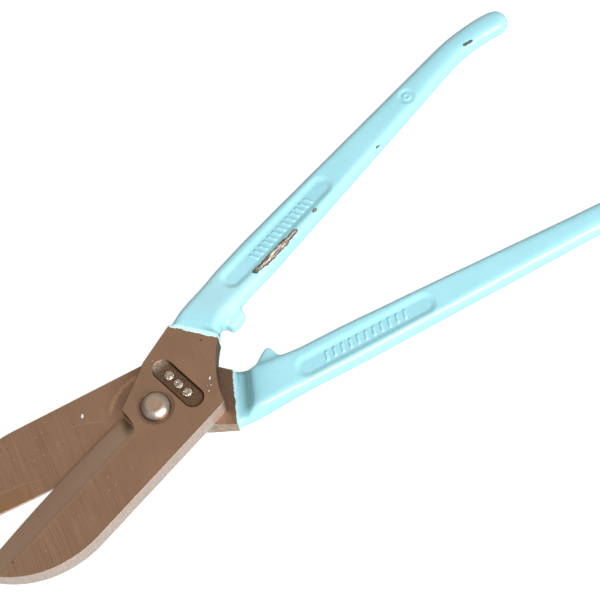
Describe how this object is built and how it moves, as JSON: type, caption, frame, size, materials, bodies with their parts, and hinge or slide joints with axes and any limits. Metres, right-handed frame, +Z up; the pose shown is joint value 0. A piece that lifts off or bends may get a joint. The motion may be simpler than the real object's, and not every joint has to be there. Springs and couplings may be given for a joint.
{
  "type": "tinman's snips",
  "caption": "Forged straight tinman's snips, half open: two blades on one pivot bolt, painted tapering handles with stop lugs.",
  "frame": {"origin": "on the pivot axis, at the underside of the pivot nut", "axes": "+X between the blades towards their tips, +Y the side of the upper blade, +Z up along the pivot axis out of the bolt's head"},
  "size_m": [0.2496, 0.0909, 0.0218],
  "materials": {
    "ground_steel": "ground across the blade, oiled, slightly brown",
    "handle_paint": "glossy pale blue enamel over a forged skin, chipped",
    "bolt_steel": "turned, worn bright",
    "dark_steel": "blackened"
  },
  "bodies": {
    "lower_half": {"lower_blade": "ground_steel", "lower_handle": "handle_paint", "pivot_bolt": "bolt_steel", "lock_washer": "dark_steel", "pivot_nut": "dark_steel"},
    "upper_half": {"upper_blade": "ground_steel", "upper_handle": "handle_paint"}
  },
  "joints": [
    {"name": "pivot", "type": "hinge", "parent": "lower_half", "child": "upper_half", "pos_m": [0, 0, 0.01289], "axis": [0, 0, 1], "range_deg": [-18.3, 40]}
  ]
}
